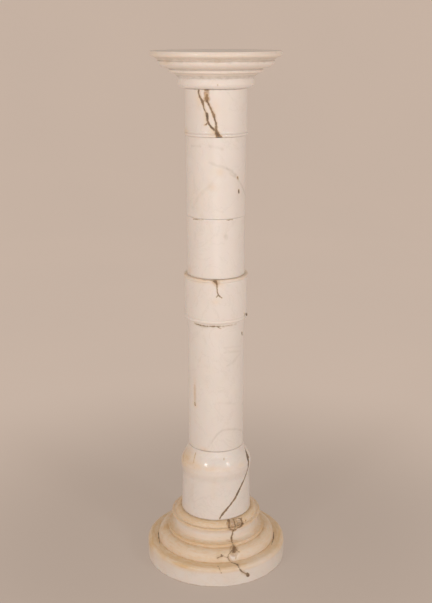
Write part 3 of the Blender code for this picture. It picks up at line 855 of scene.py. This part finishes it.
def carve(node, material):
    """Makes the fine stone that stands for a node."""
    stone = Stone(node)
    inside, warmth, groove = veined(stone)
    dirt = DIRT_AND_SHADE_OF[node]
    fields = {
        "vein_mm": inside,
        "vein_warmth": warmth,
        "grey_cloud_and_shade": clouded(stone, GREY_CLOUDS, FAR_GREY_CLOUDS, PAINTED_SHADE_RINGS),
        "brown_cloud": clouded(stone, BROWN_CLOUDS),
        # ochre holds the stains and ochre patches; in the capital's hollows it is partly painted shade
        "ochre_and_shade": np.maximum(stone.stain, patched(stone, OCHRE_PATCHES)),
        "pale": patched(stone, PALE_AND_LIT_PATCHES),
        # bed and sunk darken the joints and sunk corners: grime, with painted shade in the sunk corners,
        # under the collar's bead and along the base's foot
        "bed": np.maximum(dirt.top * stone.top_bed, dirt.foot * stone.foot_bed),
        "sunk": dirt.sunk * stone.sunk,
        "turned": np.column_stack([np.sin(stone.around), -np.cos(stone.around), stone.along]),
    }
    cut = np.maximum(groove, chipped(stone)) + worked(stone)
    stone.points = stone.points - stone.normals * cut[:, None]
    fine = bpy.data.objects.new(node + ".fine", mesh_of(stone, fields))
    fine.data.materials.append(material)
    bpy.context.scene.collection.objects.link(fine)
    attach(fine, "root")
    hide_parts(node)


# Sockets of a mix node that mixes two colours
MIX_FIRST, MIX_SECOND, MIX_RESULT = 6, 7, 2


class Graph:
    """Puts together the nodes of one material."""

    def __init__(self, name):
        self.material = bpy.data.materials.new(name)
        self.material.use_nodes = True
        self.tree = self.material.node_tree
        self.shader = self.tree.nodes["Principled BSDF"]

    def node(self, kind, inputs=(), **settings):
        """A new node: inputs pairs a socket's name or number with a value or another socket."""
        made = self.tree.nodes.new(kind)
        for name, value in settings.items():
            setattr(made, name, value)
        for socket, value in dict(inputs).items():
            self.feed(made.inputs[socket], value)
        return made

    def feed(self, socket, value):
        if isinstance(value, bpy.types.NodeSocket):
            self.tree.links.new(value, socket)
        else:
            socket.default_value = value

    def place(self):
        return self.node("ShaderNodeTexCoord").outputs["Object"]

    def field(self, name, output="Fac"):
        """A field of the stone's points."""
        return self.node("ShaderNodeAttribute", attribute_name=name).outputs[output]

    def scaled(self, vector, scale):
        made = self.node("ShaderNodeVectorMath", {0: vector, 1: scale}, operation="MULTIPLY")
        return made.outputs["Vector"]

    def noise(self, vector, scale, detail=3.0, roughness=0.55, distortion=0.0):
        inputs = {"Vector": vector, "Scale": scale, "Detail": detail, "Roughness": roughness,
                  "Distortion": distortion}
        return self.node("ShaderNodeTexNoise", inputs).outputs["Fac"]

    def ramp(self, value, low, high, to_low=0.0, to_high=1.0):
        """A smooth step of a value from low to high."""
        inputs = {"Value": value, "From Min": low, "From Max": high, "To Min": to_low, "To Max": to_high}
        made = self.node("ShaderNodeMapRange", inputs, interpolation_type="SMOOTHSTEP")
        return made.outputs["Result"]

    def maths(self, operation, *values):
        made = self.node("ShaderNodeMath", dict(enumerate(values)), operation=operation)
        return made.outputs["Value"]

    def times(self, first, second):
        return self.maths("MULTIPLY", first, second)

    def plus(self, first, second):
        return self.maths("ADD", first, second)

    def mixed(self, share, first, second):
        """A colour that goes from the first to the second."""
        inputs = {"Factor": share, MIX_FIRST: first, MIX_SECOND: second}
        return self.node("ShaderNodeMix", inputs, data_type="RGBA").outputs[MIX_RESULT]


# Colours of the stone and of what has got into it
PALE_STONE_AND_LIGHT = (0.86, 0.80, 0.75, 1)
OCHRE = (0.80, 0.59, 0.35, 1)
DEEP_OCHRE = (0.69, 0.47, 0.22, 1)
GREY_VEIN = (0.44, 0.40, 0.34, 1)
BROWN_VEIN = (0.40, 0.235, 0.11, 1)
VEIN_EDGE = (0.42, 0.345, 0.26, 1)
DARK_VEIN = (0.11, 0.075, 0.05, 1)
WARM_VEIN = (0.33, 0.20, 0.10, 1)

# How each marble looks: its three ground colours, the colour of its grime and painted shade, how dull it is
# and how much it shines
Finish = namedtuple("Finish", "clear cloudy blushed dirt dull shine")

WHITE_FINISH = Finish((0.82, 0.782, 0.75, 1), (0.79, 0.752, 0.715, 1), (0.81, 0.76, 0.725, 1),
                      (0.24, 0.16, 0.09, 1), 0.45, 0.35)
HONEY_FINISH = Finish((0.82, 0.785, 0.75, 1), (0.79, 0.74, 0.68, 1), (0.81, 0.75, 0.69, 1),
                      (0.40, 0.26, 0.14, 1), 0.5, 0.18)
COAT_ROUGHNESS = 0.1
GLOW_THROUGH, GLOW_DEPTH = 0.25, 4 * MM
GLOW_COLOUR = (1.0, 0.65, 0.45)
BUMP_STRENGTH, BUMP_DEPTH = 0.12, 0.3 * MM


def marble(name, finish):
    """Polished stone: broad clouds and a faint blush, then stains, pale patches, grey veins, grime and brown
    veins, with painted shade and painted highlights among them.
    """
    graph = Graph(name)
    place = graph.place()
    turned_place = graph.field("turned", "Vector")
    broad = graph.noise(place, 11, 4, 0.6, 0.6)
    fine = graph.noise(place, 90, 5, 0.6)
    grain = graph.noise(place, 700, 4, 0.6)
    streaks = graph.noise(graph.scaled(turned_place, (26, 26, 9)), 1.0, 4, 0.6)
    rings = graph.noise(graph.scaled(turned_place, (7, 7, 260)), 1.0, 4, 0.65, 0.4)

    colour = graph.mixed(graph.ramp(broad, 0.35, 0.72), finish.clear, finish.cloudy)
    blush = graph.ramp(graph.noise(place, 23, 3, 0.5, 1.0), 0.45, 0.75)
    colour = graph.mixed(blush, colour, finish.blushed)
    colour = graph.mixed(graph.ramp(streaks, 0.5, 0.85, 0, 0.35), colour, finish.cloudy)
    wisps = graph.maths("ABSOLUTE", graph.plus(graph.noise(place, 14, 6, 0.62, 1.6), -0.5))
    colour = graph.mixed(graph.ramp(wisps, 0.02, 0.0, 0, 0.10), colour, GREY_VEIN)

    # Stains, partly painted shade in the capital's hollows
    ochre_and_shade = graph.times(graph.field("ochre_and_shade"), graph.ramp(rings, 0.25, 0.7, 0.75, 1.15))
    colour = graph.mixed(graph.times(ochre_and_shade, 0.75), colour, OCHRE)
    deep = graph.times(graph.ramp(graph.plus(ochre_and_shade, graph.times(fine, 0.6)), 0.9, 1.5), 0.55)
    colour = graph.mixed(deep, colour, DEEP_OCHRE)
    # Pale stone, with painted highlights on the collar's lower bead and the capital's ring and painted light
    # on the foot drum's waist
    colour = graph.mixed(graph.times(graph.field("pale"), 0.8), colour, PALE_STONE_AND_LIGHT)
    # Grey veins, with painted shade under the capital's slab and bead and under the collar's bead
    broken = graph.ramp(graph.noise(place, 60, 4, 0.6), 0.32, 0.62, 0.35, 1.1)
    colour = graph.mixed(graph.times(graph.field("grey_cloud_and_shade"), broken), colour, GREY_VEIN)
    colour = graph.mixed(graph.times(graph.field("brown_cloud"), graph.ramp(fine, 0.3, 0.65, 0.75, 1.15)),
                         colour, BROWN_VEIN)

    # Grime in the joints and sunk corners, with painted shade in the sunk corners, under the collar's bead
    # and along the base's foot
    dirt = graph.times(graph.field("sunk"), graph.ramp(fine, 0.35, 0.65, 0.35, 1.0))
    dashes = graph.ramp(graph.noise(place, 45, 4, 0.6), 0.36, 0.64, 0.15, 1.0)
    dirt = graph.maths("MAXIMUM", dirt, graph.times(graph.field("bed"), dashes))
    colour = graph.mixed(graph.times(dirt, 0.85), colour, finish.dirt)

    ragged = graph.times(graph.plus(graph.noise(place, 420, 4, 0.65), -0.5), 2.2)
    inside = graph.plus(graph.field("vein_mm"), ragged)
    fringe = graph.times(graph.ramp(inside, -2.6, 0.1, 0, 0.4),
                         graph.plus(graph.times(graph.field("vein_warmth"), 1.2), 0.3))
    colour = graph.mixed(fringe, colour, OCHRE)
    vein = graph.ramp(inside, -0.9, 0.6)
    core = graph.mixed(graph.field("vein_warmth"), DARK_VEIN, WARM_VEIN)
    vein_colour = graph.mixed(graph.ramp(inside, -0.2, 1.1), VEIN_EDGE, core)
    vein_colour = graph.mixed(graph.ramp(fine, 0.4, 0.7, 0, 0.25), vein_colour, OCHRE)
    colour = graph.mixed(graph.times(vein, 0.96), colour, vein_colour)

    specks = graph.node("ShaderNodeTexVoronoi", {"Vector": place, "Scale": 150.0}).outputs["Distance"]
    sparse = graph.ramp(graph.noise(place, 37, 2), 0.6, 0.68)
    speck = graph.times(graph.ramp(specks, 0.10, 0.05), sparse)
    colour = graph.mixed(graph.times(speck, 0.5), colour, finish.dirt)

    shader = graph.shader
    graph.feed(shader.inputs["Base Color"], colour)
    roughness = graph.ramp(fine, 0.3, 0.7, finish.dull - 0.04, finish.dull + 0.04)
    roughness = graph.plus(roughness, graph.times(vein, 0.25))
    roughness = graph.plus(roughness, graph.times(dirt, 0.2))
    graph.feed(shader.inputs["Roughness"], roughness)
    shader.inputs["Coat Weight"].default_value = finish.shine
    shader.inputs["Coat Roughness"].default_value = COAT_ROUGHNESS
    shader.inputs["Subsurface Weight"].default_value = GLOW_THROUGH
    shader.inputs["Subsurface Scale"].default_value = GLOW_DEPTH
    shader.inputs["Subsurface Radius"].default_value = GLOW_COLOUR
    height = graph.plus(graph.times(grain, 0.5), graph.times(vein, -1.0))
    height = graph.plus(height, graph.times(speck, -0.8))
    relief = {"Strength": BUMP_STRENGTH, "Distance": BUMP_DEPTH, "Height": height}
    bump = graph.node("ShaderNodeBump", relief)
    graph.feed(shader.inputs["Normal"], bump.outputs["Normal"])
    return graph.material


# How brightly the ground glows near the column, far from it, and more in front of it
NEAR_GLOW, FAR_GLOW, FRONT_GLOW = 0.26, 0.405, 0.2
NEAR_REACH, FAR_REACH = 0.3, 1.1
FRONT_FROM, FRONT_TO = -0.3, -1.3
PAPER_GLOW = (1.0, 0.81, 0.68, 1)
PAPER_DARK, PAPER_LIGHT = (0.26, 0.225, 0.20, 1), (0.28, 0.24, 0.21, 1)
PAPER_ROUGHNESS = 0.75


def stage_paper():
    """The plain pale ground, which glows a little and so lights the column from all round."""
    graph = Graph("pale_paper")
    place = graph.place()
    tint = graph.ramp(graph.noise(place, 0.9, 2, 0.5), 0.3, 0.7)
    colour = graph.mixed(tint, PAPER_DARK, PAPER_LIGHT)
    graph.feed(graph.shader.inputs["Base Color"], colour)
    graph.shader.inputs["Roughness"].default_value = PAPER_ROUGHNESS
    graph.shader.inputs["Emission Color"].default_value = PAPER_GLOW
    flat = graph.scaled(place, (1, 1, 0))
    reach = graph.node("ShaderNodeVectorMath", {0: flat}, operation="LENGTH").outputs["Value"]
    forward = graph.node("ShaderNodeSeparateXYZ", {"Vector": place}).outputs["Y"]
    glow = graph.ramp(reach, NEAR_REACH, FAR_REACH, NEAR_GLOW, FAR_GLOW)
    glow = graph.plus(glow, graph.ramp(forward, FRONT_TO, FRONT_FROM, FRONT_GLOW, 0.0))
    graph.feed(graph.shader.inputs["Emission Strength"], glow)
    return graph.material


FLOOR_RADIUS = 3.3
BOWL_RADIUS = 5.6
BOWL_HEIGHT = 3.6
BOWL_STEPS = 16
BOWL_COLUMNS = 96


def stand_on_stage():
    """A wide floor that curves up into a round wall, so that no view sees past it."""
    side = [(0.0, 0.0), (FLOOR_RADIUS, 0.0)]
    for step in range(1, BOWL_STEPS + 1):
        turned_by = math.radians(90 * step / BOWL_STEPS)
        out = FLOOR_RADIUS + (BOWL_RADIUS - FLOOR_RADIUS) * math.sin(turned_by)
        side.append((out, BOWL_HEIGHT * (1 - math.cos(turned_by))))
    points, faces = [], []
    for radius, height in side[1:]:
        for column in range(BOWL_COLUMNS):
            angle = 2 * math.pi * column / BOWL_COLUMNS
            points.append((radius * math.cos(angle), radius * math.sin(angle), height))
    faces.append(list(range(BOWL_COLUMNS)))
    for ring in range(len(side) - 2):
        for column in range(BOWL_COLUMNS):
            beside = (column + 1) % BOWL_COLUMNS
            low, high = ring * BOWL_COLUMNS, (ring + 1) * BOWL_COLUMNS
            faces.append((low + column, high + column, high + beside, low + beside))
    mesh = bpy.data.meshes.new("ground")
    mesh.from_pydata(points, [], faces)
    mesh.shade_smooth()
    mesh.materials.append(stage_paper())
    ground = bpy.data.objects.new("ground", mesh)
    bpy.context.scene.collection.objects.link(ground)


# Two small lamps a little over the capital, and a broad low one near the floor. Each stands at an
# angle round the column, some way from its axis, and aims at a height of the axis.
Lamp = namedtuple("Lamp", "degrees away height size watts aim_height colour spread_deg")

LAMPS = {
    "left_lamp": Lamp(-36, 2.3, 1.42, 0.4, 8.9, 0.4, (1.0, 0.99, 0.97), 180),
    "right_lamp": Lamp(43, 2.3, 1.42, 0.4, 8.4, 0.4, (0.96, 0.985, 1.0), 180),
    "low_fill": Lamp(4, 2.3, 0.3, 1.2, 2.8, 0.3, (1.0, 0.99, 0.98), 110),
}
ROOM_COLOUR = (0.64, 0.56, 0.49, 1)
ROOM_STRENGTH = 0.66


def hang_the_lamps():
    """The soft square lamps, which the camera doesn't see."""
    for name, lamp in LAMPS.items():
        light = bpy.data.lights.new(name, "AREA")
        light.size = lamp.size
        light.energy = lamp.watts
        light.color = lamp.colour
        light.spread = math.radians(lamp.spread_deg)
        placed = bpy.data.objects.new(name, light)
        angle = math.radians(lamp.degrees)
        placed.location = (lamp.away * math.sin(angle), -lamp.away * math.cos(angle), lamp.height)
        aim = Vector((0, 0, lamp.aim_height)) - placed.location
        placed.rotation_mode = "QUATERNION"
        placed.rotation_quaternion = aim.to_track_quat("-Z", "Y")
        placed.visible_camera = False
        bpy.context.scene.collection.objects.link(placed)


def light_the_room():
    """A faint even light that comes in over the wall."""
    world = bpy.data.worlds.new("room")
    world.use_nodes = True
    world.node_tree.nodes["Background"].inputs["Color"].default_value = ROOM_COLOUR
    world.node_tree.nodes["Background"].inputs["Strength"].default_value = ROOM_STRENGTH
    bpy.context.scene.world = world
    bpy.context.scene.view_settings.view_transform = "Standard"


def set_the_camera():
    """The camera that looks at the column as the photograph does."""
    camera = bpy.data.objects.new("camera", bpy.data.cameras.new("camera"))
    camera.data.sensor_width = SENSOR_MM
    camera.data.lens = LENS_MM
    camera.location = (0, -CAMERA_DISTANCE, CAMERA_HEIGHT)
    camera.rotation_euler = (math.radians(90 - CAMERA_TILT_DEG), 0, 0)
    bpy.context.scene.collection.objects.link(camera)
    bpy.context.scene.camera = camera


white = marble("white_marble", WHITE_FINISH)
honey = marble("honey_marble", HONEY_FINISH)
for node in OUTLINES:
    if node == "base":
        carve(node, honey)
    else:
        carve(node, white)
stand_on_stage()
hang_the_lamps()
light_the_room()
set_the_camera()
